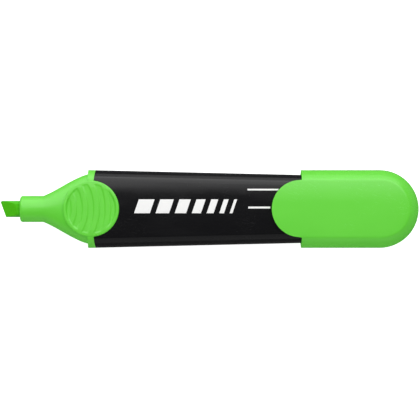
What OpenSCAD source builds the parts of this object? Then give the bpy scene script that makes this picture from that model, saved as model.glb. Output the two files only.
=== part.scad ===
// Flat-bodied highlighter, lying on one of its broad faces with its cap pushed onto the rear end.
// The pen runs along X with its tip towards -X. Y is its width and Z its thickness.
// Every module works in the pen's own axes: X is 0 at the seam between collar and barrel,
// and Y and Z are 0 on the centre line. placed() moves it to the row's frame.

/* [Barrel] */
// Width of the barrel at its mouth
barrel_w = 24.84; // [24.6:0.02:25]
// Thickness of the barrel at its mouth
barrel_t = 12.1; // [11.9:0.1:12.2]
// Length of the barrel from the seam to its closed rear end
barrel_l = 80; // [76:0.1:84]
// Angle by which each side of the barrel leans in towards the rear
side_taper = 1.32; // [1.1:0.02:1.4]
// Radius of the barrel's rounded flanks
barrel_flank_r = 6.15; // [6.1:0.05:6.4]
// Wall thickness of the barrel and of the cap
wall = 1.25; // [1.15:0.05:1.3]

/* [Cap] */
// Width of the cap
cap_w = 24.9; // [24.8:0.1:25.2]
// Thickness of the cap
cap_t = 15.2; // [15.1:0.1:15.6]
// Length of the cap from its rim to its round end, without the tongues
cap_l = 37.6; // [36:0.1:40]
// Radius of the cap's rounded flanks
cap_flank_r = 8.95; // [8.8:0.05:9.5]
// Radius of the two round tongues that stand out from the rim
tongue_r = 9.04; // [8.6:0.02:9.2]
// How far the barrel goes into the cap when the cap is on the rear end
post_depth = 14.4; // [12:0.1:14.8]

/* [Front section] */
// Diameter of the round nozzle that holds the nib
nozzle_d = 8.36; // [8.2:0.02:8.5]
// Length of the nozzle in front of the flare
nozzle_l = 7.6; // [7:0.1:9]
// Length of the flare between nozzle and collar
flare_l = 14.4; // [13:0.1:16]
// Length of the collar between the flare and the barrel
collar_l = 2.4; // [2:0.1:2.8]
// Radius of the round finger grips on both broad faces
grip_r = 8.9; // [8.5:0.1:9]

/* [Nib] */
// Diameter of the nib's rod
nib_d = 5.2; // [5:0.05:5.3]
// How far the nib stands out of the nozzle
nib_out = 6.2; // [5.8:0.1:7]

/* [Hidden] */
$fn = 96;

// Shared surface shapes
crown_r = 65;          // the broad faces are very slightly rounded across the pen
land_w = 5;            // flat strip along the middle of the cap's broad faces, which the pen rests on
face_draft = 0.15;     // lean of each of the barrel's broad faces
seam_r = 34;           // the seam between collar and barrel bows by this radius
fit_gap = 0.05;        // room between parts that are pushed together
over = 1;              // a cutting shape runs this far past what it cuts
root = 0.2;            // ribs and beads are sunk this far into the wall they stand on
crown_fn = 480;        // facets of the large circles that round the broad faces
bead_fn = 24;          // facets of small beads, holes and rounded edges

// Places along the pen
collar_x = -collar_l;
flare_x = collar_x - flare_l;
mouth_x = flare_x - nozzle_l;
tip_x = mouth_x - nib_out;
rim_x = barrel_l - post_depth;
cap_end_x = rim_x + cap_l;
cap_turn_x = cap_end_x - cap_w / 2;

// Barrel
end_wall = 1.5;
rear_corner_r = 2.5;
rib_w = 0.8;
rib_z = 1.6;           // height of each rib over and under the middle plane
rib_gap = 0.1;         // between a rib and the wrapped ink store
stop_y = 4;
stop_gap = 0.2;        // between a stop and the ink store
stop_short = 0.6;      // the stops end this far from the broad walls
bar_run = 12;          // how far the barrel's shape is carried on in front of the seam

// Front section
seat_w = 22.3;         // the flare's width and thickness where it meets the collar
seat_t = 11.9;
flare_start_slope = 0.40;
flare_end_slope = 0.25;
flare_rings = 16;
flare_sides = 56;
flare_root = 0.5;      // the flare starts this far inside the nozzle
flare_root_step = 0.15;
flare_sink = 0.8;      // the flare ends this far inside the collar
seat_squareness = 2.6; // 2 is an ellipse, more is squarer
nozzle_edge_r = 0.8;
mouth_dome_r = 24;     // the nozzle's front face is slightly domed
hollow_front = 2.5;    // solid length in front of the hollow
hollow_back = 0.5;
hollow_r = [4.2, 9.4]; // half width of the hollow in front and behind
hollow_z = [3.1, 4.6]; // half height of the hollow in front and behind
grip_x = -1.3;
grip_t = 12.5;
grip_rim_w = 1.1;
grip_depth = 0.6;      // depth of the grip's pocket in the middle
grip_rib_h = 0.25;
grip_rib_w = 1.8;
grip_rib_pitch = 3.6;
grip_rib_bow_r = 16;
grip_rib_count = 4;
spigot_l = 8;
spigot_wall = 1.2;
nib_tube_r = 3.4;
nib_tube_end_x = -3;
breather_r = 0.35;
breather_y = 0.1;      // the breather channels' middle lies this far outside the nib
breather_count = 4;

// Nib and ink store
nib_tip_t = 1.2;       // thickness of the writing edge
nib_slant = 1.9;       // how far the writing edge leans back across the nib
nib_flat_t = 4.1;      // the rod is ground flat to this thickness where it stands out of the nozzle
nib_bevel = 19.5;
nib_flat_end = 0.6;    // the flats run this far into the nozzle
nib_corner = [0.9, 0.5]; // length and width of the piece taken off the leading corner
nib_side_gap = 0.1;    // the plan's straight sides stay this far outside the rod
nib_tail_l = 1.4;
nib_tail_x = 14;
store_x = 9;
store_l = 66;
store_w = 17.2;
store_t = 8.6;
wrap_t = 0.15;
wrap_gap = 0.01;       // between wrap and store, on each side

// Cap and inner cap
tongue_back = 0.5;     // the tongue's centre lies this far in front of the rim
cap_step = 0.35;       // the cap's bore narrows by this much behind the inner cap's flange
flange_gap = 0.5;
flange_t = 1.2;
inner_r = 4.3;
inner_wall = 0.9;
inner_end_gap = 5.8;   // from the tube's closed end to the cap's round end
inner_end_t = 1;
lip_h = 0.06;
lip_l = 0.4;
lip_at = [1.2, 2.8];   // distance of the two lips from the tube's mouth
grip_bead_r = 0.45;
grip_bead_l = 9;
grip_bead_x = 0.7;     // the beads start this far behind the rim
grip_bead_z = 2.4;
grip_bead_in = 0.35;   // the beads lie this far in, where the flank has begun to curve
tongue_x = rim_x - tongue_back;
flange_x = barrel_l + flange_gap;

// ---- Helpers ----

module placed() translate([-(tip_x + cap_end_x) / 2, 0, cap_t / 2]) children();

// A 2D shape drawn in Y and Z, drawn out along X
module along_x(from, to) translate([from, 0, 0]) rotate([90, 0, 90]) linear_extrude(to - from) children();

// A round bar along X
module rod(r, from, to) translate([from, 0, 0]) rotate([0, 90, 0]) cylinder(r = r, h = to - from);

module both_faces() for (s = [0, 1]) mirror([0, 0, s]) children();

module both_sides() for (s = [0, 1]) mirror([0, s, 0]) children();

// The space between two very slightly rounded broad faces, t apart at the middle
module crowned_slab(t, from, to) {
    intersection_for(s = [-1, 1]) translate([0, 0, s * (t / 2 - crown_r)]) rod(crown_r, from, to);
}

// ---- Barrel ----

// The barrel's outer shape, or with an inset a shape that far inside it, from one X to another
module barrel_form(inset, from, to) {
    flank_y = barrel_w / 2 - barrel_flank_r;
    far = barrel_l + over;
    near = -bar_run;
    core_half = function (x) flank_y - x * tan(side_taper);
    intersection() {
        union() {
            both_sides() translate([0, flank_y, 0]) rotate([0, 0, -side_taper])
                translate([near, 0, 0]) rotate([0, 90, 0])
                    cylinder(r = barrel_flank_r - inset, h = far - near);
            linear_extrude(barrel_t - 2 * inset + 0.1, center = true)
                polygon([
                    [near, core_half(near)], [far, core_half(far)],
                    [far, -core_half(far)], [near, -core_half(near)]
                ]);
        }
        intersection_for(s = [0, 1])
            mirror([0, 0, s]) translate([0, 0, barrel_t / 2]) rotate([0, face_draft, 0])
                translate([near, 0, -crown_r]) rotate([0, 90, 0])
                    cylinder(r = crown_r - inset, h = far - near);
        translate([from, -barrel_w, -barrel_t]) cube([to - from, 2 * barrel_w, 2 * barrel_t]);
    }
}

// Plan outline that rounds the barrel's two rear corners
module rear_plan() {
    half = barrel_w / 2 - barrel_l * tan(side_taper) - rear_corner_r;
    square_end = barrel_l - rear_corner_r;
    linear_extrude(2 * barrel_t, center = true) {
        translate([-bar_run, -barrel_w]) square([square_end + bar_run, 2 * barrel_w]);
        translate([square_end - over, -half]) square([rear_corner_r + over, 2 * half]);
        for (s = [-1, 1]) translate([square_end, s * half]) circle(rear_corner_r);
    }
}

// The bowed front of the barrel's mouth, which the collar fills
module seam_bow() translate([-seam_r, 0, 0]) rotate([90, 0, 0])
    cylinder(r = seam_r, h = 2 * barrel_w, center = true);

// Long ribs on the inside of each flank keep the ink store in the middle
module store_ribs() {
    intersection() {
        barrel_form(wall - root, store_x + over, barrel_l - end_wall + root);
        both_sides() both_faces()
            translate([store_x, store_w / 2 + wrap_t + rib_gap, rib_z - rib_w / 2])
                cube([barrel_l, barrel_w, rib_w]);
    }
}

// Two short ribs on the end wall stop the ink store
module store_stops() {
    front = store_x + store_l + stop_gap;
    half_t = barrel_t / 2 - wall - stop_short;
    for (s = [-1, 1])
        translate([front, s * stop_y - rib_w / 2, -half_t])
            cube([barrel_l - end_wall + root - front, rib_w, 2 * half_t]);
}

module barrel() color("#1c1c1f") {
    difference() {
        intersection() {
            barrel_form(0, -over, barrel_l);
            rear_plan();
        }
        barrel_form(wall, -2 * over, barrel_l - end_wall);
        seam_bow();
        translate([grip_x, 0, -barrel_t]) cylinder(r = grip_r + fit_gap, h = 2 * barrel_t);
    }
    store_ribs();
    store_stops();
}

// ---- Front section ----

// Half the flare's width at a share t of its length, a smooth curve with a set slope at each end
function blend_curve(t, start, stop, slope_in, slope_out) =
    (2 * t * t * t - 3 * t * t + 1) * start
    + (t * t * t - 2 * t * t + t) * flare_l * slope_in
    + (3 * t * t - 2 * t * t * t) * stop
    + (t * t * t - t * t) * flare_l * slope_out;

// One ring of the flare: a circle at the nozzle that grows into a squarer oval at the collar
function flare_ring(x, half_w, half_t, squareness) = [
    for (i = [0 : flare_sides - 1])
        let (a = 360 * i / flare_sides, c = cos(a), s = sin(a), p = 2 / squareness)
            [x, half_w * sign(c) * pow(abs(c), p), half_t * sign(s) * pow(abs(s), p)]
];

function flare_ring_at(t) =
    let (
        half_w = blend_curve(t, nozzle_d / 2, seat_w / 2, flare_start_slope, flare_end_slope),
        share = (half_w - nozzle_d / 2) / (seat_w / 2 - nozzle_d / 2),
        half_t = nozzle_d / 2 + share * (seat_t / 2 - nozzle_d / 2)
    )
    flare_ring(flare_x + t * flare_l, half_w, half_t, 2 + share * (seat_squareness - 2));

module flare() {
    rings = concat(
        [flare_ring(flare_x - flare_root, nozzle_d / 2 - flare_root_step, nozzle_d / 2 - flare_root_step, 2)],
        [for (i = [1 : flare_rings]) flare_ring_at(i / flare_rings)],
        [flare_ring(collar_x + flare_sink, seat_w / 2, seat_t / 2, seat_squareness)]
    );
    last = len(rings) - 1;
    n = flare_sides;
    sides = [
        for (r = [0 : last - 1], i = [0 : n - 1])
            let (a = r * n + i, b = r * n + (i + 1) % n)
                each [[a, b + n, b], [a, a + n, b + n]]
    ];
    polyhedron(
        points = [for (ring = rings) each ring],
        faces = concat(
            [[for (i = [0 : n - 1]) i]],
            sides,
            [[for (i = [n - 1 : -1 : 0]) last * n + i]]
        )
    );
}

// The nozzle, with a rounded edge and a slightly domed face at its mouth
module nozzle() {
    r = nozzle_d / 2;
    drop = mouth_dome_r - sqrt(pow(mouth_dome_r, 2) - pow(r - nozzle_edge_r, 2));
    translate([mouth_x, 0, 0]) rotate([0, 90, 0]) rotate_extrude() intersection() {
        translate([0, mouth_dome_r]) circle(mouth_dome_r, $fn = crown_fn);
        union() {
            translate([0, drop + nozzle_edge_r]) square([r, nozzle_l + flare_root - drop - nozzle_edge_r]);
            square([r - nozzle_edge_r, nozzle_l + flare_root]);
            translate([r - nozzle_edge_r, drop + nozzle_edge_r]) circle(nozzle_edge_r, $fn = bead_fn);
        }
    }
}

// The hollow inside the flare, as wide as the walls allow in each direction
module flare_hollow() {
    start_x = flare_x + hollow_front;
    stop_x = collar_x + hollow_back;
    intersection() {
        translate([start_x, 0, 0]) rotate([0, 90, 0])
            cylinder(r1 = hollow_r[0], r2 = hollow_r[1], h = stop_x - start_x);
        rotate([90, 0, 0]) linear_extrude(barrel_w, center = true)
            polygon([
                [start_x - over, hollow_z[0]], [stop_x + over, hollow_z[1]],
                [stop_x + over, -hollow_z[1]], [start_x - over, -hollow_z[0]]
            ]);
    }
}

// A flat-floored round pocket in one broad face of the grip, with bowed ribs standing on its floor
module grip_pocket() {
    floor_z = grip_t / 2 - grip_depth;
    translate([grip_x, 0, floor_z]) difference() {
        cylinder(r = grip_r - grip_rim_w, h = grip_depth + over);
        for (i = [0 : grip_rib_count - 1]) {
            mid_r = grip_rib_bow_r + (i - (grip_rib_count - 1) / 2) * grip_rib_pitch;
            translate([-grip_rib_bow_r, 0, -over]) difference() {
                cylinder(r = mid_r + grip_rib_w / 2, h = over + grip_rib_h);
                translate([0, 0, -over]) cylinder(r = mid_r - grip_rib_w / 2, h = 3 * over + grip_rib_h);
            }
        }
    }
}

module grip_discs() {
    intersection() {
        translate([grip_x, 0, -grip_t]) cylinder(r = grip_r, h = 2 * grip_t);
        crowned_slab(grip_t, grip_x - grip_r - over, grip_x + grip_r + over);
    }
}

module front_section() color("#6ad648") {
    spigot_inset = wall + fit_gap;
    difference() {
        union() {
            difference() {
                union() {
                    nozzle();
                    flare();
                    intersection() {
                        barrel_form(0, collar_x, over);
                        seam_bow();
                    }
                    barrel_form(spigot_inset, collar_x, spigot_l);
                    grip_discs();
                }
                flare_hollow();
                barrel_form(spigot_inset + spigot_wall, collar_x, spigot_l + over);
            }
            rod(nib_tube_r, flare_x, nib_tube_end_x);
        }
        rod(nib_d / 2 + fit_gap, mouth_x - over, nib_tube_end_x + over);
        for (i = [0 : breather_count - 1])
            rotate([i * 360 / breather_count, 0, 0]) translate([0, nib_d / 2 + breather_y, 0])
                rod(breather_r, mouth_x - over, nib_tube_end_x + over, $fn = bead_fn);
        both_faces() grip_pocket();
    }
}

// ---- Nib ----

// Seen on the broad face: the writing edge leans back and its leading corner is taken off
module nib_plan() {
    r = nib_d / 2 + nib_side_gap;
    linear_extrude(nib_d + over, center = true)
        polygon([
            [tip_x, r - nib_corner[1]], [tip_x + nib_corner[0], r], [nib_tail_x + over, r],
            [nib_tail_x + over, -r], [tip_x + nib_slant, -r]
        ]);
}

// Two bevels that follow the slanted writing edge and run in to it
module nib_wedge() {
    r = nib_d / 2 + nib_side_gap;
    nib_l = nib_tail_x - tip_x;
    reach = (r - nib_tip_t / 2) / tan(nib_bevel);
    front = -nib_tip_t / 2 / tan(nib_bevel);
    translate([tip_x + nib_slant / 2, 0, 0]) rotate([90, 0, atan(nib_slant / nib_d)])
        linear_extrude(nib_l, center = true)
            polygon([[front, 0], [reach, r], [nib_l, r], [nib_l, -r], [reach, -r]]);
}

// The rod is flat on both faces in front and round behind
module nib_flats() {
    flat_end = mouth_x + nib_flat_end;
    front_l = flat_end - tip_x + over;
    translate([tip_x - over, -nib_d, -nib_flat_t / 2]) cube([front_l, 2 * nib_d, nib_flat_t]);
    translate([flat_end, -nib_d, -nib_d]) cube([nib_tail_x - flat_end + over, 2 * nib_d, 2 * nib_d]);
}

// A round bar whose rear end is tapered like the nib's tail
module tailed_rod(r, from) {
    taper_x = nib_tail_x - nib_tail_l;
    rod(r, from, taper_x);
    translate([taper_x, 0, 0]) rotate([0, 90, 0]) cylinder(r1 = r, r2 = r - nib_tail_l, h = nib_tail_l);
}

module nib() color("#4cb419") intersection() {
    tailed_rod(nib_d / 2, tip_x - over);
    nib_plan();
    nib_wedge();
    nib_flats();
}

// ---- Ink store ----

module obround(w, t) {
    square([w - t, t], center = true);
    for (s = [-1, 1]) translate([s * (w - t) / 2, 0]) circle(t / 2);
}

module ink_reservoir() color("#8fe06a") difference() {
    along_x(store_x, store_x + store_l) obround(store_w, store_t);
    // Pocket that the nib's tail is pushed into
    translate([fit_gap, 0, 0]) tailed_rod(nib_d / 2 + fit_gap, store_x - over);
}

module reservoir_wrap() color("#e8ecec") difference() {
    along_x(store_x, store_x + store_l) obround(store_w + 2 * wrap_t, store_t + 2 * wrap_t);
    along_x(store_x - over, store_x + store_l + over)
        obround(store_w + 2 * wrap_gap, store_t + 2 * wrap_gap);
}

// ---- Cap ----

// The two rounded flanks, drawn as one outline. An inset shape is that far inside.
module flank_shape(inset) {
    for (s = [-1, 1]) translate([s * (cap_w / 2 - cap_flank_r), 0]) circle(cap_flank_r - inset);
}

// The two broad faces, very slightly rounded across the pen on each side of the flat strip
module crown_shape(inset, land) {
    half_t = cap_t / 2 - inset;
    r = crown_r - inset;
    rise = r - sqrt(r * r - land * land / 4);
    intersection() {
        square([2 * cap_w, 2 * half_t], center = true);
        for (s = [-1, 1]) translate([0, s * (half_t + rise - r)]) circle(r, $fn = crown_fn);
    }
}

// Cross-section of the cap, or of a hollow that far inside it
module cap_profile(inset, land) intersection() {
    flank_shape(inset);
    crown_shape(inset, land);
}

// A bar of the cap's cross-section that ends in a half turn of the same section
module cap_form(inset, land, from) {
    along_x(from, cap_turn_x) cap_profile(inset, land);
    translate([cap_turn_x, 0, 0]) rotate_extrude() intersection() {
        cap_profile(inset, land);
        translate([0, -cap_t]) square([cap_w, 2 * cap_t]);
    }
}

// The round tongues carry the broad faces on past the rim
module tongues() intersection() {
    along_x(tongue_x - tongue_r - over, rim_x + over) crown_shape(0, land_w);
    translate([tongue_x, 0, -cap_t]) cylinder(r = tongue_r, h = 2 * cap_t);
}

// Four low beads inside the rim grip the barrel
module grip_beads() {
    y = cap_w / 2 - wall + grip_bead_r - root - grip_bead_in;
    both_sides() both_faces() translate([rim_x + grip_bead_x, y, grip_bead_z])
        rod(grip_bead_r, 0, grip_bead_l, $fn = bead_fn);
}

module cap() color("#6ad648") {
    difference() {
        union() {
            cap_form(0, land_w, rim_x);
            tongues();
        }
        cap_form(wall + cap_step, 0, rim_x - over);
        along_x(tongue_x - tongue_r - over, flange_x + flange_t) cap_profile(wall, 0);
    }
    grip_beads();
}

// ---- Inner cap ----

// A closed tube that seals round the nozzle, on a flange pushed into the cap
module inner_cap() color("#7be05a") {
    tube_end_x = cap_end_x - inner_end_gap;
    difference() {
        union() {
            along_x(flange_x, flange_x + flange_t) cap_profile(wall + fit_gap, 0);
            rod(inner_r + inner_wall, flange_x, tube_end_x);
        }
        rod(inner_r, flange_x - over, tube_end_x - inner_end_t);
    }
    // Sealing lips inside the tube's mouth
    for (x = lip_at) translate([flange_x + x, 0, 0]) difference() {
        rod(inner_r + root, 0, lip_l);
        rod(inner_r - lip_h, -over, lip_l + over);
    }
}

placed() barrel();
placed() front_section();
placed() nib();
placed() ink_reservoir();
placed() reservoir_wrap();
placed() cap();
placed() inner_cap();
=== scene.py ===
from math import atan2, cos, pi, radians, sin, sqrt, tan

import bmesh
import bpy
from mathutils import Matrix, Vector


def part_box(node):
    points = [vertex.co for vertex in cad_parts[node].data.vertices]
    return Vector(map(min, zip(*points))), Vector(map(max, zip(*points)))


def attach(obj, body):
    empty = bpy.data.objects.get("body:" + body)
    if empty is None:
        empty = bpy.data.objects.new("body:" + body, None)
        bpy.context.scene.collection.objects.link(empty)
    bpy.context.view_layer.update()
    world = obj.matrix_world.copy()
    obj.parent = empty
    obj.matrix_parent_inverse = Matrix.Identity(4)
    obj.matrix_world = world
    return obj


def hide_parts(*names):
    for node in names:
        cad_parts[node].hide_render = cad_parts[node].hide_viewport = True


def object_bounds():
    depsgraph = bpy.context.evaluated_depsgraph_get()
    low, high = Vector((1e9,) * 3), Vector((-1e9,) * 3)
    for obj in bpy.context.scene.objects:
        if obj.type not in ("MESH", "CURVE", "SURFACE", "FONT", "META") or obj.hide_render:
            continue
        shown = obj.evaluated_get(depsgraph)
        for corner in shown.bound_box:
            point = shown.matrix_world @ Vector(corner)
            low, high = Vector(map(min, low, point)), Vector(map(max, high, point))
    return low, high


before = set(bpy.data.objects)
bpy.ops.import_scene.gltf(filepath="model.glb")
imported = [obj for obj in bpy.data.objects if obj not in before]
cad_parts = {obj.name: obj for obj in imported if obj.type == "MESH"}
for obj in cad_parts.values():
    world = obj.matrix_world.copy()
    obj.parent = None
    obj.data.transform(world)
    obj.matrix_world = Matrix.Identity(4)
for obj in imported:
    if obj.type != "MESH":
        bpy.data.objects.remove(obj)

cad_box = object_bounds()

# The pen lies along X with its nib towards -X. Shapes are drawn in millimetres in the pen's own
# axes: x is 0 at the seam between collar and barrel, y and z are 0 on the centre line.
MM = 0.001

BARREL_W = 24.84
BARREL_T = 12.1
BARREL_L = 80.0
SIDE_TAPER = radians(1.32)
FACE_DRAFT = radians(0.15)
BARREL_FLANK_R = 6.15
BARREL_CORNER_R = 2.5
END_WALL = 1.5
WALL = 1.25
CROWN_R = 65.0
SEAM_R = 34.0

CAP_L = 37.6
CAP_FLANK_R = 8.95
CAP_LAND_W = 5.0
TONGUE_R = 9.04
TONGUE_BACK = 0.5

COLLAR_L = 2.4
FLARE_L = 14.4
NOZZLE_L = 7.6
NOZZLE_R = 4.18
NOZZLE_EDGE_R = 0.8
MOUTH_DOME_R = 24.0
SEAT_W = 22.3
SEAT_T = 11.9
SEAT_SQUARENESS = 2.6
FLARE_SLOPES = (0.40, 0.25)
SPIGOT_L = 8.0
SPIGOT_WALL = 1.2
FIT_GAP = 0.05

GRIP_X = -1.3
GRIP_R = 8.9
GRIP_T = 12.5
GRIP_RIM_W = 1.1
GRIP_DEPTH = 0.6
GRIP_RIB_H = 0.25
GRIP_RIB_W = 1.8
GRIP_RIB_PITCH = 3.6
GRIP_RIB_BOW_R = 16.0
GRIP_RIBS = 4

NIB_R = 2.6
NIB_TIP_T = 1.2
NIB_SLANT = 1.9
NIB_FLAT_T = 4.1
NIB_BEVEL = radians(19.5)
NIB_FLAT_END = 0.6
NIB_TAIL_L = 1.4

CREASE_SOFTNESS = 0.35
EDGE_SOFTNESS = 0.12
NIB_EDGE_SOFTNESS = 0.16

barrel_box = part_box("barrel")
front_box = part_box("front_section")
nib_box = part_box("nib")
cap_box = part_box("cap")

seam_x = barrel_box[1].x / MM - BARREL_L
axis_z = (cap_box[0].z + cap_box[1].z) / 2 / MM
tip_x = nib_box[0].x / MM - seam_x
nib_tail_x = nib_box[1].x / MM - seam_x
cap_end_x = cap_box[1].x / MM - seam_x
cap_w = (cap_box[1].y - cap_box[0].y) / MM
cap_t = (cap_box[1].z - cap_box[0].z) / MM
flare_x = -COLLAR_L - FLARE_L
mouth_x = front_box[0].x / MM - seam_x
rim_x = cap_end_x - CAP_L
turn_x = cap_end_x - cap_w / 2


def place(x, y, z):
    """A point of the pen's own axes, in the frame's metres."""
    return Vector(((x + seam_x) * MM, y * MM, (z + axis_z) * MM))


# ---------------------------------------------------------------- finishes


class Signal:
    """A node's output. Arithmetic on it adds Math nodes to its finish."""

    def __init__(self, finish, socket):
        self.finish = finish
        self.socket = socket

    def math(self, operation, *values):
        return self.finish.node("ShaderNodeMath", {"operation": operation}, dict(enumerate(values)))

    def __add__(self, other):
        return self.math("ADD", self, other)

    __radd__ = __add__

    def __mul__(self, other):
        return self.math("MULTIPLY", self, other)

    __rmul__ = __mul__

    def __sub__(self, other):
        return self.math("SUBTRACT", self, other)

    def __rsub__(self, other):
        return self.math("SUBTRACT", other, self)

    def above(self, edge, softness):
        """0 below the edge and 1 above it, changing smoothly over the softness."""
        return self.finish.node(
            "ShaderNodeMapRange",
            {"interpolation_type": "SMOOTHSTEP"},
            {"Value": self, "From Min": edge - softness / 2, "From Max": edge + softness / 2},
        )


class Finish:
    """A procedural material for one of the pen's finishes, drawn in object space in metres."""

    def __init__(self, name, **uniform):
        self.material = bpy.data.materials.new(name)
        self.material.use_nodes = True
        self.tree = self.material.node_tree
        self.shader = self.tree.nodes["Principled BSDF"]
        for socket, value in uniform.items():
            self.shader.inputs[socket.replace("_", " ")].default_value = value
        self.object_space = self.node("ShaderNodeTexCoord", {}, {}, "Object")

    def node(self, kind, settings, sockets, output=0):
        """Adds a node: its settings first, then the values or links of its sockets."""
        made = self.tree.nodes.new(kind)
        for key, value in settings.items():
            setattr(made, key, value)
        for key, value in sockets.items():
            if isinstance(value, Signal):
                self.tree.links.new(value.socket, made.inputs[key])
            else:
                made.inputs[key].default_value = value
        return Signal(self, made.outputs[output])

    def drive(self, **signals):
        """Links signals to the shader's sockets."""
        for socket, signal in signals.items():
            self.tree.links.new(signal.socket, self.shader.inputs[socket.replace("_", " ")])

    def stretched(self, x, y, z):
        """Object space scaled along each axis, so that a pattern is drawn out along the others."""
        return self.node("ShaderNodeMapping", {}, {"Vector": self.object_space, "Scale": (x, y, z)})

    def noise(self, size_mm, detail=3.0, roughness=0.5, where=None):
        """Smooth noise, 0 to 1, whose features are about that large."""
        return self.node(
            "ShaderNodeTexNoise",
            {},
            {
                "Vector": where or self.object_space,
                "Scale": 1 / (size_mm * MM),
                "Detail": detail,
                "Roughness": roughness,
            },
        )

    def grains(self, size_mm, where=None):
        """Distance to the nearest grain's middle, in grain sizes."""
        return self.node(
            "ShaderNodeTexVoronoi", {}, {"Vector": where or self.object_space, "Scale": 1 / (size_mm * MM)}
        )

    def mix(self, share, first, second):
        """Blends two colours."""
        return self.node(
            "ShaderNodeMix",
            {"data_type": "RGBA", "blend_type": "MIX", "clamp_factor": True},
            {0: share, 6: colour(first), 7: colour(second)},
            2,
        )

    def bump(self, height, strength, depth_mm):
        """Turns a height, 0 to 1, into a normal."""
        return self.node(
            "ShaderNodeBump", {}, {"Height": height, "Strength": strength, "Distance": depth_mm * MM}
        )

    def scratches(self, across_mm, along_mm, turn, sparse):
        """Thin straight scratches: 1 on a scratch and 0 off it."""
        rotation = (0, 0, radians(turn))
        turned = self.node("ShaderNodeMapping", {}, {"Vector": self.object_space, "Rotation": rotation})
        drawn = self.node(
            "ShaderNodeMapping", {}, {"Vector": turned, "Scale": (across_mm / along_mm, 1, 1)}
        )
        line = self.noise(across_mm, 1.0, 0.4, drawn).above(sparse, 0.02)
        patch = self.noise(14, 1.0).above(0.55, 0.1)
        return line * patch


def colour(value):
    """A colour as a socket takes it: a link is passed on and three numbers get an alpha."""
    return value if isinstance(value, Signal) else (*value, 1)


BRIGHT_GREEN = (0.118, 0.498, 0.042)
DEEP_GREEN = (0.107, 0.468, 0.037)
PALE_GREEN = (0.146, 0.546, 0.061)
NIB_GREEN = (0.072, 0.500, 0.004)
WET_GREEN = (0.050, 0.390, 0.002)
BLACK = (0.0042, 0.0042, 0.0050)
PRINT_WHITE = (0.86, 0.86, 0.85)
# An even green emission on the green plastic: a painted glow that brightens its shaded sides, not light from
# a lamp.
PAINTED_GLOW = (0.08, 1.0, 0.01)
PAINTED_GLOW_STRENGTH = 0.15


def moulded_green(name, roughness, paleness):
    """Fluorescent green plastic out of a polished mould: faint flow clouds, a fine grain and light scuffs,
    with an even green emission that is a painted glow lifting its shaded sides.
    """
    finish = Finish(name, Specular_IOR_Level=0.86, IOR=1.47, Subsurface_Weight=0.08, Subsurface_Scale=0.002)
    # Painted glow: an even emission that brightens the green plastic where it lies in shade.
    finish.shader.inputs["Emission Color"].default_value = (*PAINTED_GLOW, 1)
    finish.shader.inputs["Emission Strength"].default_value = PAINTED_GLOW_STRENGTH
    finish.shader.inputs["Subsurface Radius"].default_value = (0.5, 1.0, 0.3)
    flow = finish.noise(9, 4.0, 0.45, finish.stretched(0.4, 1, 1))
    speck = finish.noise(0.12, 2.0)
    scuffs = finish.scratches(0.10, 5.0, 22, 0.71) + finish.scratches(0.08, 4.0, -48, 0.73)
    base = finish.mix(flow.above(0.5, 0.6), DEEP_GREEN, BRIGHT_GREEN)
    tinted = finish.mix(paleness, base, PALE_GREEN)
    finish.drive(
        Base_Color=finish.mix(scuffs * 0.25, tinted, PALE_GREEN),
        Roughness=roughness + flow * 0.06 + scuffs * 0.18 + finish.noise(2.5) * 0.05,
        Normal=finish.bump(speck + finish.noise(0.5) * 0.6 - scuffs * 0.7, 0.05, 0.02),
    )
    return finish.material


def glossy_black(name):
    """Black plastic with a high shine, faint finger smears, dust specks and hairline scratches."""
    finish = Finish(name, Specular_IOR_Level=0.45, IOR=1.5)
    smears = finish.noise(7, 5.0, 0.6, finish.stretched(0.35, 1, 1)).above(0.55, 0.3)
    scratches = finish.scratches(0.09, 7.0, 8, 0.70) + finish.scratches(0.07, 5.0, -31, 0.72)
    dust = 1 - finish.grains(1.6).above(0.05, 0.03)
    base = finish.mix(smears * 0.5, BLACK, (0.0062, 0.0062, 0.0070))
    finish.drive(
        Base_Color=finish.mix(scratches * 0.10 + dust * 0.06, base, (0.09, 0.09, 0.09)),
        Roughness=0.16 + smears * 0.07 + scratches * 0.15 + dust * 0.2,
        Normal=finish.bump(finish.noise(0.7, 2.0) - scratches * 0.5 + dust * 0.3, 0.03, 0.02),
    )
    return finish.material


def inked_fibre(name, dry, wet, fibre_mm):
    """Pressed fibres along the pen, soaked with ink that lies darker in the pores."""
    finish = Finish(name, Specular_IOR_Level=0.35, IOR=1.4)
    along = finish.stretched(0.10, 1, 1)
    strands = finish.noise(fibre_mm, 3.0, 0.65, along)
    pores = finish.grains(fibre_mm * 1.6, along).above(0.45, 0.5)
    soak = finish.noise(2.2, 3.0, 0.5)
    base = finish.mix(strands.above(0.5, 0.5), wet, dry)
    finish.drive(
        Base_Color=finish.mix(soak.above(0.55, 0.4) * 0.35, base, wet),
        Roughness=0.46 + strands * 0.25,
        Normal=finish.bump(strands + pores * 0.6, 0.35, 0.03),
    )
    return finish.material


def pad_print(name):
    """White ink, thin at its edges and slightly grainy."""
    finish = Finish(name, Specular_IOR_Level=0.4)
    grain = finish.noise(0.18, 3.0, 0.6)
    worn = finish.noise(1.1, 4.0, 0.6).above(0.68, 0.08)
    ink = finish.mix(grain, (0.80, 0.80, 0.79), PRINT_WHITE)
    finish.drive(
        Base_Color=finish.mix(worn * 0.35, ink, (0.35, 0.35, 0.35)),
        Roughness=0.42 + grain * 0.15,
        Normal=finish.bump(grain, 0.08, 0.01),
    )
    return finish.material


def wrap_film(name):
    """Clear film drawn tight round the ink store, with fine lengthwise wrinkles."""
    finish = Finish(name, Specular_IOR_Level=0.5, IOR=1.5)
    wrinkles = finish.noise(0.9, 3.0, 0.55, finish.stretched(0.06, 1, 1))
    finish.drive(
        Base_Color=finish.mix(wrinkles, (0.55, 0.80, 0.45), (0.78, 0.92, 0.72)),
        Roughness=0.18 + wrinkles * 0.15,
        Alpha=0.35 + wrinkles * 0.2,
        Normal=finish.bump(wrinkles, 0.4, 0.05),
    )
    return finish.material


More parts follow.
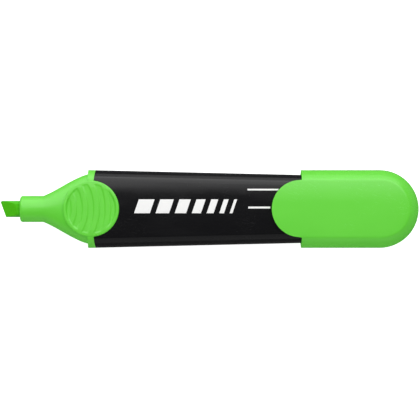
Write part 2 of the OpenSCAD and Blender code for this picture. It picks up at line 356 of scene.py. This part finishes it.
def studio_floor(name):
    """Pale paper sweep."""
    finish = Finish(name, Specular_IOR_Level=0.2, Emission_Strength=0.86)
    finish.shader.inputs["Emission Color"].default_value = (1, 1, 1, 1)
    tooth = finish.noise(0.6, 4.0, 0.6)
    finish.drive(
        Base_Color=finish.mix(tooth, (0.66, 0.66, 0.66), (0.70, 0.70, 0.70)),
        Roughness=0.75 + tooth * 0.1,
        Normal=finish.bump(tooth, 0.04, 0.02),
    )
    return finish.material


# ---------------------------------------------------------------- outlines across the pen

CROWN_STEPS = 22
SOFT_STEPS = 8
FLANK_STEPS = 14


def crown_height(y, half_t, crown_r, land_w):
    """Height of a broad face at y: a flat strip in the middle, then a very shallow curve."""
    flat = land_w / 2
    if abs(y) <= flat:
        return half_t
    rise = crown_r - sqrt(crown_r**2 - flat**2)
    return half_t + rise - crown_r + sqrt(crown_r**2 - y**2)


def crease_at(flank_y, flank_r, half_t, crown_r, land_w):
    """The y at which the broad face meets the rounded flank."""
    low, high = flank_y, flank_y + flank_r
    for _ in range(50):
        y = (low + high) / 2
        if crown_height(y, half_t, crown_r, land_w) < sqrt(flank_r**2 - (y - flank_y) ** 2):
            low = y
        else:
            high = y
    return low


def quarter_outline(flank_y, flank_r, half_t, crown_r, land_w=0.0):
    """Points (y, z) from the middle of a broad face to the middle of a flank, with a softened crease."""
    crease_y = crease_at(flank_y, flank_r, half_t, crown_r, land_w)
    crease_z = crown_height(crease_y, half_t, crown_r, land_w)
    soft_y = crease_y - CREASE_SOFTNESS
    crease_turn = atan2(crease_z, crease_y - flank_y)
    soft_turn = crease_turn - CREASE_SOFTNESS / flank_r
    crown = [soft_y * sin(pi / 2 * i / CROWN_STEPS) for i in range(CROWN_STEPS + 1)]
    points = [(y, crown_height(y, half_t, crown_r, land_w)) for y in crown]
    start = Vector(points[-1])
    stop = Vector((flank_y + flank_r * cos(soft_turn), flank_r * sin(soft_turn)))
    corner = Vector((crease_y, crease_z))
    for i in range(1, SOFT_STEPS):
        t = i / SOFT_STEPS
        points.append(tuple(start * (1 - t) ** 2 + corner * 2 * t * (1 - t) + stop * t**2))
    for i in range(FLANK_STEPS + 1):
        turn = soft_turn * (1 - i / FLANK_STEPS)
        points.append((flank_y + flank_r * cos(turn), flank_r * sin(turn)))
    return points


def half_outline(quarter):
    """From the middle of the upper face round one flank to the middle of the lower face."""
    return quarter + [(y, -z) for y, z in reversed(quarter[:-1])]


def full_outline(quarter):
    """All the way round, starting at the middle of the upper face."""
    half = half_outline(quarter)
    return half + [(-y, z) for y, z in reversed(half[1:-1])]


def barrel_quarter(x, inset=0.0):
    """The barrel's outline at x, or a hollow that far inside it."""
    flank_y = BARREL_W / 2 - BARREL_FLANK_R - x * tan(SIDE_TAPER)
    half_t = BARREL_T / 2 - x * tan(FACE_DRAFT)
    return quarter_outline(flank_y, BARREL_FLANK_R - inset, half_t - inset, CROWN_R - inset)


def cap_quarter(inset, land_w):
    """The cap's outline, or a hollow that far inside it."""
    flank_y = cap_w / 2 - CAP_FLANK_R
    return quarter_outline(flank_y, CAP_FLANK_R - inset, cap_t / 2 - inset, CROWN_R - inset, land_w)


def round_quarter(radius, count):
    """A quarter circle with a set number of points."""
    return oval_quarter(radius, radius, 2.0, count)


def oval_quarter(half_w, half_t, squareness, count):
    """A quarter of an oval that is squarer the higher its squareness, and an ellipse at 2."""
    power = 2 / squareness
    points = []
    for i in range(count):
        turn = pi / 2 * (1 - i / (count - 1))
        points.append((half_w * max(cos(turn), 0.0) ** power, half_t * max(sin(turn), 0.0) ** power))
    return points


def seam_bow(z):
    """How far the seam between collar and barrel leans forward at height z."""
    return sqrt(SEAM_R**2 - z**2) - SEAM_R


# ---------------------------------------------------------------- surfaces


MERGE_DISTANCE = 1e-7
SHARP_ANGLE = 32
GRIP_SHARP_ANGLE = 60
NIB_SHARP_ANGLE = 14


class Surface:
    """Collects points and faces of one piece, then makes it an object that rides on a body."""

    def __init__(self):
        self.bm = bmesh.new()

    def ring(self, points):
        return [self.bm.verts.new(place(*p)) for p in points]

    def bridge(self, first, second, closed=True):
        """Quads between two rings of the same length."""
        count = len(first)
        for i in range(count if closed else count - 1):
            j = (i + 1) % count
            self.bm.faces.new((first[i], first[j], second[j], second[i]))

    def loft(self, rows, closed=True):
        rings = [self.ring(row) for row in rows]
        for first, second in zip(rings, rings[1:]):
            self.bridge(first, second, closed)
        return rings

    def close(self, ring):
        """Fills a ring with one flat face."""
        self.bm.faces.new(ring)

    def fan(self, ring, tip):
        """Fills a ring with triangles that meet at a point."""
        middle = self.bm.verts.new(place(*tip))
        for i in range(len(ring)):
            self.bm.faces.new((ring[i], ring[(i + 1) % len(ring)], middle))

    def finish(self, name, material, body, slot, edge_softness=0.0, sharp=SHARP_ANGLE):
        bmesh.ops.remove_doubles(self.bm, verts=self.bm.verts, dist=MERGE_DISTANCE)
        bmesh.ops.dissolve_degenerate(self.bm, edges=self.bm.edges, dist=MERGE_DISTANCE)
        bmesh.ops.recalc_face_normals(self.bm, faces=self.bm.faces)
        for face in self.bm.faces:
            face.smooth = True
        for edge in self.bm.edges:
            edge.smooth = not edge.is_manifold or edge.calc_face_angle() < radians(sharp)
        mesh = bpy.data.meshes.new(name)
        self.bm.to_mesh(mesh)
        self.bm.free()
        piece = bpy.data.objects.new(name, mesh)
        bpy.context.scene.collection.objects.link(piece)
        mesh.materials.append(material)
        if edge_softness:
            soften = piece.modifiers.new("softened_edges", "BEVEL")
            soften.width = edge_softness * MM
            soften.segments = 2
            soften.limit_method = "ANGLE"
            soften.angle_limit = radians(sharp)
            soften.harden_normals = True
        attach(piece, body)
        return piece


def steps(start, stop, count):
    return [start + (stop - start) * i / count for i in range(count + 1)]


# ---------------------------------------------------------------- barrel

BARREL_ROWS = 12
CORNER_ROWS = 8


def barrel_mouth_x(y, z):
    """The barrel's front edge: the bowed seam, cut back round each finger grip."""
    notch = (GRIP_R + FIT_GAP) ** 2 - y**2
    return max(seam_bow(z), GRIP_X + sqrt(notch)) if notch > 0 else seam_bow(z)


def barrel_rows(inset, end_x, corner_r):
    """Rows of points from the mouth to the rear, whose corners are rounded in plan."""
    corner_x = end_x - corner_r
    turn_steps = [corner_x + corner_r * sin(pi / 2 * i / CORNER_ROWS) for i in range(1, CORNER_ROWS + 1)]
    rows = []
    for step in range(BARREL_ROWS + 1):
        row = []
        for i, (y, z) in enumerate(full_outline(barrel_quarter(0.0, inset))):
            x = barrel_mouth_x(y, z) + (corner_x - barrel_mouth_x(y, z)) * step / BARREL_ROWS
            row.append((x, i))
        rows.append([(x, *full_outline(barrel_quarter(x, inset))[i]) for x, i in row])
    for x in turn_steps:
        side = BARREL_W / 2 - inset - end_x * tan(SIDE_TAPER) - corner_r
        reach = side + sqrt(max(corner_r**2 - (x - corner_x) ** 2, 0.0))
        outline = full_outline(barrel_quarter(x, inset))
        rows.append([(x, max(-reach, min(reach, y)), z) for y, z in outline])
    return rows


def make_barrel(material):
    surface = Surface()
    outside = surface.loft(barrel_rows(0.0, BARREL_L, BARREL_CORNER_R))
    inside = surface.loft(barrel_rows(WALL, BARREL_L - END_WALL, BARREL_CORNER_R - WALL))
    surface.bridge(outside[0], inside[0])
    surface.close(outside[-1])
    surface.close(inside[-1])
    piece = surface.finish("barrel_shell", material, "pen", "barrel_plastic", EDGE_SOFTNESS)
    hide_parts("barrel")


# ---------------------------------------------------------------- front section

FLARE_ROWS = 40
MOUTH_ROWS = 8
LIP_ROWS = 3
NOZZLE_ROWS = 4
COLLAR_ROWS = 4
SPIGOT_ROWS = 4
LINING_ROWS = 5
HOLLOW_ROWS = 10
BORE_ROWS = 6
NOZZLE_RUN_IN = 1.0
NOZZLE_RUN_OUT = 0.4
COLLAR_RUN_OUT = 1.0
SEAM_GAP = 0.02
POCKET_FLOOR_T = 0.3
POCKET_UNDERSIDE = GRIP_T / 2 - GRIP_DEPTH - POCKET_FLOOR_T

# The hollow inside the flare: its ends, and its half width, half thickness and squareness at each.
HOLLOW_FRONT_X = flare_x + 2.5
HOLLOW_BACK_X = -COLLAR_L + 0.5
HOLLOW_FRONT = (4.2, 3.1, 2.0)
HOLLOW_BACK = (9.4, 4.6, 2.6)


def blend_curve(t, start, stop):
    """A smooth curve from start to stop with a set slope at each end."""
    slope_in, slope_out = FLARE_SLOPES
    return (
        (2 * t**3 - 3 * t**2 + 1) * start
        + (t**3 - 2 * t**2 + t) * FLARE_L * slope_in
        + (3 * t**2 - 2 * t**3) * stop
        + (t**3 - t**2) * FLARE_L * slope_out
    )


def flare_size(t):
    """Half width, half thickness and squareness of the flare at a share t of its length."""
    half_w = blend_curve(t, NOZZLE_R, SEAT_W / 2)
    share = (half_w - NOZZLE_R) / (SEAT_W / 2 - NOZZLE_R)
    half_t = NOZZLE_R + share * (SEAT_T / 2 - NOZZLE_R)
    return half_w, half_t, 2 + share * (SEAT_SQUARENESS - 2)


def flare_outline(t, count):
    """The flare's outline: round at the nozzle, a squarer oval at the collar."""
    return full_outline(oval_quarter(*flare_size(t), count))


def nozzle_lip():
    """The nozzle's mouth in profile as (x, radius): a domed face and then its rounded edge."""
    edge_start = NOZZLE_R - NOZZLE_EDGE_R
    profile = []
    for radius in steps(NIB_R + FIT_GAP, edge_start, LIP_ROWS):
        profile.append((MOUTH_DOME_R - sqrt(MOUTH_DOME_R**2 - radius**2), radius))
    edge_x = profile[-1][0] + NOZZLE_EDGE_R
    for i in range(1, MOUTH_ROWS + 1):
        turn = pi / 2 * i / MOUTH_ROWS
        profile.append((edge_x - NOZZLE_EDGE_R * cos(turn), edge_start + NOZZLE_EDGE_R * sin(turn)))
    face_x = flare_x - NOZZLE_L
    return [(face_x + x, radius) for x, radius in profile]


def hollow_outline(x, count):
    """The outline of the hollow inside the flare at x."""
    t = (x - HOLLOW_FRONT_X) / (HOLLOW_BACK_X - HOLLOW_FRONT_X)
    size = [front + (back - front) * t for front, back in zip(HOLLOW_FRONT, HOLLOW_BACK)]
    return full_outline(oval_quarter(*size, count))


def under_grips(x, y, z):
    """Lowers the shell where a grip's pocket is deeper than the collar's own face."""
    if sqrt((x - GRIP_X) ** 2 + y**2) > GRIP_R - GRIP_RIM_W / 2:
        return x, y, z
    return x, y, max(-POCKET_UNDERSIDE, min(POCKET_UNDERSIDE, z))


def section(x, outline):
    """An outline set across the pen at x."""
    return [(x, y, z) for y, z in outline]


def barrel_section(x, inset=0.0):
    return section(x, full_outline(barrel_quarter(x, inset)))


def seam_section(inset):
    """A section that follows the bowed seam, just short of the barrel."""
    return [(seam_bow(z) - SEAM_GAP, y, z) for y, z in full_outline(barrel_quarter(0.0, inset))]


def make_front(material):
    """One skin from the nozzle's mouth along the outside to the spigot, and back through the hollow."""
    count = len(barrel_quarter(0.0))
    spigot_inset = WALL + FIT_GAP
    lining_inset = spigot_inset + SPIGOT_WALL
    nozzle = full_outline(round_quarter(NOZZLE_R, count))
    bore = full_outline(round_quarter(NIB_R + FIT_GAP, count))
    lip = nozzle_lip()
    mouth_edge_x, nozzle_start = lip[0][0], lip[-1][0] + NOZZLE_RUN_IN
    rows = [section(x, full_outline(round_quarter(r, count))) for x, r in lip]
    rows += [section(x, nozzle) for x in steps(nozzle_start, flare_x - NOZZLE_RUN_OUT, NOZZLE_ROWS)]
    rows += [section(flare_x + FLARE_L * t, flare_outline(t, count)) for t in steps(0.0, 1.0, FLARE_ROWS)]
    rows += [barrel_section(x) for x in steps(-COLLAR_L, -COLLAR_RUN_OUT, COLLAR_ROWS)]
    rows += [seam_section(0.0), seam_section(spigot_inset)]
    rows += [barrel_section(x, spigot_inset) for x in steps(COLLAR_RUN_OUT, SPIGOT_L, SPIGOT_ROWS)]
    rows += [barrel_section(x, lining_inset) for x in steps(SPIGOT_L, HOLLOW_BACK_X, LINING_ROWS)]
    rows += [section(x, hollow_outline(x, count)) for x in steps(HOLLOW_BACK_X, HOLLOW_FRONT_X, HOLLOW_ROWS)]
    rows += [section(x, bore) for x in steps(HOLLOW_FRONT_X, mouth_edge_x, BORE_ROWS)[:-1]]
    surface = Surface()
    rings = surface.loft([[under_grips(*point) for point in row] for row in rows])
    surface.bridge(rings[-1], rings[0])
    piece = surface.finish("front_shell", material, "pen", "front_plastic", EDGE_SOFTNESS)
    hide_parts("front_section")


# ---------------------------------------------------------------- finger grips

GRIP_RINGS = 64
GRIP_SPOKES = 192
GRIP_FOOT = 4.8
GRIP_ROOT = 0.4
GRIP_CORE_R = 0.15
GRIP_EDGE_W = 0.3
GRIP_EDGE_DROP = 0.18
EMBOSS_SLOPE = 0.6


def ramp_up(value, start, width):
    """0 before start, 1 after start + width, smooth between."""
    t = max(0.0, min(1.0, (value - start) / width))
    return t * t * (3 - 2 * t)


def grip_height(x, y):
    """Height of a grip's face: a rim round a flat-floored pocket with bowed ribs."""
    radius = sqrt(x**2 + y**2)
    pocket = 1 - ramp_up(radius, GRIP_R - GRIP_RIM_W - EMBOSS_SLOPE / 2, EMBOSS_SLOPE)
    bow = sqrt((x + GRIP_RIB_BOW_R) ** 2 + y**2) - GRIP_RIB_BOW_R
    rib = 0.0
    for i in range(GRIP_RIBS):
        off = abs(bow - (i - (GRIP_RIBS - 1) / 2) * GRIP_RIB_PITCH)
        rib = max(rib, 1 - ramp_up(off, GRIP_RIB_W / 2 - EMBOSS_SLOPE / 2, EMBOSS_SLOPE))
    edge = GRIP_EDGE_DROP * ramp_up(radius, GRIP_R - GRIP_EDGE_W, GRIP_EDGE_W) ** 2
    face = crown_height(y, GRIP_T / 2, CROWN_R, 0.0)
    floor = min(face, GRIP_T / 2 - GRIP_DEPTH + rib * GRIP_RIB_H)
    return face + pocket * (floor - face) - edge


def grip_foot(x, y):
    """How high a grip's side wall starts: just below the surface that it stands on."""
    if x > -COLLAR_L:
        return GRIP_FOOT
    half_w, half_t, squareness = flare_size((x - flare_x) / FLARE_L)
    inside = max(1 - (abs(y) / half_w) ** squareness, 0.0)
    return max(half_t * inside ** (1 / squareness) - GRIP_ROOT, 0.0)


def make_grip(name, up, material):
    """A round grip on the upper face, or on the lower one where up is -1."""
    surface = Surface()
    rows = []
    for radius in steps(GRIP_CORE_R, GRIP_R, GRIP_RINGS):
        row = []
        for i in range(GRIP_SPOKES):
            turn = 2 * pi * i / GRIP_SPOKES
            x, y = radius * cos(turn), radius * sin(turn)
            row.append((GRIP_X + x, y, up * grip_height(x, y)))
        rows.append(row)
    rows.append([(x, y, up * grip_foot(x, y)) for x, y, z in rows[-1]])
    rings = surface.loft(rows)
    surface.fan(rings[0], (GRIP_X, 0.0, up * grip_height(0.0, 0.0)))
    surface.fan(rings[-1], (GRIP_X, 0.0, up * GRIP_FOOT))
    surface.finish(name, material, "pen", "front_plastic", sharp=GRIP_SHARP_ANGLE)


# ---------------------------------------------------------------- nib

NIB_SIDES = 72
NIB_SPARE_L = 1.0
NIB_CORNER_IN = 0.4
NIB_CORNER_NORMAL = (-0.5, 0.9, 0)


def nib_ring(x, radius, flat):
    """A ring round the rod, flat above and below that height."""
    turns = [2 * pi * i / NIB_SIDES for i in range(NIB_SIDES)]
    return [(x, radius * cos(a), max(-flat, min(flat, radius * sin(a)))) for a in turns]


def make_nib(material):
    """A rod of fibre, ground to a slanted chisel in front and tapered at its tail."""
    surface = Surface()
    flat_end = mouth_x + NIB_FLAT_END
    rows = [nib_ring(x, NIB_R, NIB_FLAT_T / 2) for x in (tip_x - NIB_SPARE_L, flat_end)]
    rows += [nib_ring(x, NIB_R, NIB_R) for x in (flat_end, nib_tail_x - NIB_TAIL_L)]
    rows.append(nib_ring(nib_tail_x, NIB_R - NIB_TAIL_L, NIB_R))
    rings = surface.loft(rows)
    surface.close(rings[0])
    surface.close(rings[-1])

    def cut(point, normal):
        """Grinds away what lies beyond a plane."""
        geometry = list(surface.bm.verts) + list(surface.bm.edges) + list(surface.bm.faces)
        made = bmesh.ops.bisect_plane(
            surface.bm, geom=geometry, plane_co=place(*point), plane_no=Vector(normal), clear_outer=True
        )
        edges = [e for e in made["geom_cut"] if isinstance(e, bmesh.types.BMEdge)]
        bmesh.ops.holes_fill(surface.bm, edges=edges, sides=0)

    lean = atan2(NIB_SLANT, 2 * NIB_R)
    edge_x = tip_x + NIB_SLANT / 2
    cut((edge_x, 0, 0), (-cos(lean), -sin(lean), 0))
    cut((tip_x, NIB_R - NIB_CORNER_IN, 0), NIB_CORNER_NORMAL)
    for up in (-1, 1):
        across = Vector((cos(lean), sin(lean), 0)) * -sin(NIB_BEVEL)
        cut((edge_x, 0, up * NIB_TIP_T / 2), (across.x, across.y, up * cos(NIB_BEVEL)))
    piece = surface.finish("nib_rod", material, "pen", "nib_fibre", NIB_EDGE_SOFTNESS, sharp=NIB_SHARP_ANGLE)
    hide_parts("nib")


# ---------------------------------------------------------------- cap

CAP_ROWS = 10
TURN_ROWS = 48


def with_tongue_corner(quarter):
    """The outline with two points where the tongue's side is, one for the tongue and one for the rim."""
    after = next(i for i, (y, z) in enumerate(quarter) if y > TONGUE_R)
    (y0, z0), (y1, z1) = quarter[after - 1], quarter[after]
    corner = (TONGUE_R, z0 + (z1 - z0) * (TONGUE_R - y0) / (y1 - y0))
    return quarter[:after] + [corner, corner] + quarter[after:], after


def tongue_front_x(y):
    return rim_x - TONGUE_BACK - sqrt(max(TONGUE_R**2 - y**2, 0.0))


def cap_sheet(surface, plain_quarter):
    """One skin of the cap: straight along one side, round the end and back along the other."""
    quarter, corner = with_tongue_corner(plain_quarter)
    outline = half_outline(quarter)
    last = len(outline) - 1
    on_tongue = [i <= corner or i >= last - corner for i in range(last + 1)]
    rows = [[(tongue_front_x(y) if on else rim_x, y, z) for on, (y, z) in zip(on_tongue, outline)]]
    rows += [[(x, y, z) for y, z in outline] for x in steps(rim_x, turn_x, CAP_ROWS)]
    straight = len(rows)
    for i in range(1, TURN_ROWS):
        turn = pi * i / TURN_ROWS
        rows.append([(turn_x + y * sin(turn), y * cos(turn), z) for y, z in outline])
    rows += [[(x, -y, z) for x, y, z in row] for row in reversed(rows[:straight])]
    return surface.loft(rows, closed=False)


def make_cap(material):
    surface = Surface()
    outside = cap_sheet(surface, cap_quarter(0.0, CAP_LAND_W))
    inside = cap_sheet(surface, cap_quarter(WALL, 0.0))
    surface.bridge(outside[0], inside[0], closed=False)
    surface.bridge(outside[-1], inside[-1], closed=False)
    piece = surface.finish("cap_shell", material, "cap", "cap_plastic", EDGE_SOFTNESS)
    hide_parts("cap")


# ---------------------------------------------------------------- print

PRINT_LIFT = 0.015
PRINT_T = 0.0225
PRINT_ROWS = 8
PRINT_COLUMNS = 4
STROKE_H = 4.4
STROKE_LEAN = 1.5
STROKE_GAP = 1.8
STROKE_START = 12.4
STROKE_WIDTHS = (5.0, 4.3, 3.6, 2.9, 2.2, 1.5, 0.9)
STROKE_Y = 0.75
# Each rule's start, length, middle and half thickness.
RULES = ((48.6, 7.0, 0.35, 0.3), (48.4, 9.8, 6.05, 0.26))


def face_height(x, y):
    """Height of the print's upper side over the centre line."""
    return crown_height(y, BARREL_T / 2 - x * tan(FACE_DRAFT), CROWN_R, 0.0) + PRINT_LIFT


def make_print(material):
    """Sample strokes of falling width on the upper face, and two plain rules after them."""
    surface = Surface()
    marks = [(x, w, y - thick, y + thick, 0.0) for x, w, y, thick in RULES]
    x = STROKE_START
    for w in STROKE_WIDTHS:
        marks.append((x, w, STROKE_Y - STROKE_H / 2, STROKE_Y + STROKE_H / 2, STROKE_LEAN))
        x += w + STROKE_GAP
    for x, w, low, high, lean in marks:
        rows = []
        for y in steps(low, high, PRINT_ROWS):
            start = x + lean * (y - low) / (high - low)
            rows.append([(px, y, face_height(px, y)) for px in steps(start, start + w, PRINT_COLUMNS)])
        rings = surface.loft(rows, closed=False)
        under = [[(px, y, z - PRINT_T) for px, y, z in row] for row in rows]
        lower = surface.loft(under, closed=False)
        surface.bridge(rings[0], lower[0], closed=False)
        surface.bridge(rings[-1], lower[-1], closed=False)
        for side in (0, -1):
            surface.bridge([r[side] for r in rings], [r[side] for r in lower], closed=False)
    surface.finish("barrel_print", material, "pen", "barrel_plastic")


# ---------------------------------------------------------------- the pen

green_front = moulded_green("green_front_plastic", 0.29, 0.0)
green_cap = moulded_green("green_cap_plastic", 0.20, 0.10)
make_barrel(glossy_black("black_barrel_plastic"))
make_front(green_front)
make_grip("upper_grip", 1, green_front)
make_grip("lower_grip", -1, green_front)
make_nib(inked_fibre("nib_fibre", NIB_GREEN, WET_GREEN, 0.14))
make_cap(green_cap)
make_print(pad_print("white_pad_print"))

HIDDEN_FINISHES = {
    "ink_reservoir": inked_fibre("reservoir_fibre", (0.25, 0.72, 0.10), (0.14, 0.55, 0.04), 0.22),
    "reservoir_wrap": wrap_film("wrap_film"),
    "inner_cap": moulded_green("liner_plastic", 0.45, 0.6),
}
for node, material in HIDDEN_FINISHES.items():
    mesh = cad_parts[node].data
    mesh.materials.clear()
    mesh.materials.append(material)


# ---------------------------------------------------------------- studio


FLOOR_REACH = 3.0
FLOOR_CELLS = 8
FLOOR_DROP = 0.02


def make_floor():
    bm = bmesh.new()
    bmesh.ops.create_grid(bm, x_segments=FLOOR_CELLS, y_segments=FLOOR_CELLS, size=FLOOR_REACH)
    mesh = bpy.data.meshes.new("studio_floor")
    bm.to_mesh(mesh)
    bm.free()
    floor = bpy.data.objects.new("studio_floor", mesh)
    floor.location.z = cad_box[0][2] - FLOOR_DROP * MM
    bpy.context.scene.collection.objects.link(floor)
    mesh.materials.append(studio_floor("pale_paper"))
    floor.visible_glossy = False


def softbox(name, lean, distance, length, depth, radiance, in_reflections=True):
    """A soft light along the pen. It leans off the vertical towards +Y by that many degrees."""
    light = bpy.data.lights.new(name, "AREA")
    light.shape = "RECTANGLE"
    light.size = length
    light.size_y = depth
    light.energy = radiance * pi * length * depth
    lamp = bpy.data.objects.new(name, light)
    lamp.location = Vector((0, sin(radians(lean)), cos(radians(lean)))) * distance
    lamp.rotation_euler = (-radians(lean), 0, 0)
    lamp.visible_camera = False
    lamp.visible_glossy = in_reflections
    bpy.context.scene.collection.objects.link(lamp)


def studio_world(light, backdrop):
    """Dim light from all round, in front of a pale backdrop."""
    world = bpy.data.worlds.new("studio")
    world.use_nodes = True
    nodes, links = world.node_tree.nodes, world.node_tree.links
    seen = nodes.new("ShaderNodeLightPath")
    strength = nodes.new("ShaderNodeMapRange")
    strength.inputs["To Min"].default_value = light
    strength.inputs["To Max"].default_value = backdrop
    links.new(seen.outputs["Is Camera Ray"], strength.inputs["Value"])
    links.new(strength.outputs[0], nodes["Background"].inputs["Strength"])
    nodes["Background"].inputs["Color"].default_value = (1, 1, 1, 1)
    bpy.context.scene.world = world


SENSOR = 36.0
CAMERA_DISTANCE = 0.70
CAMERA_ELEVATION = radians(89)
FRAME_MARGIN = 1.0042
VIEW_OFFSET = (0.18, -0.33)


def make_camera():
    """Looks down on the broad face and just fits the pen's length."""
    low, high = Vector(cad_box[0]), Vector(cad_box[1])
    target = (low + high) / 2 + Vector((VIEW_OFFSET[0] * MM, VIEW_OFFSET[1] * MM, 0))
    camera = bpy.data.cameras.new("camera")
    camera.sensor_width = SENSOR
    camera.lens = SENSOR * CAMERA_DISTANCE / ((high.x - low.x) * FRAME_MARGIN)
    camera.clip_start = 0.05
    camera.clip_end = 20
    rig = bpy.data.objects.new("camera", camera)
    away = Vector((0, -cos(CAMERA_ELEVATION), sin(CAMERA_ELEVATION)))
    rig.location = target + away * CAMERA_DISTANCE
    rig.rotation_euler = (pi / 2 - CAMERA_ELEVATION, 0, 0)
    bpy.context.scene.collection.objects.link(rig)
    bpy.context.scene.camera = rig


make_floor()
softbox("key", 48.0, 0.60, 1.20, 0.825, 1.65)
softbox("low_side", 90.0, 0.60, 1.20, 0.34, 0.75)
softbox("fill", -78.0, 0.60, 1.20, 0.46, 0.22)
softbox("overhead", 0.0, 0.90, 0.80, 0.80, 2.40, in_reflections=False)
studio_world(0.09, 0.95)
make_camera()
bpy.context.scene.view_settings.view_transform = "Standard"
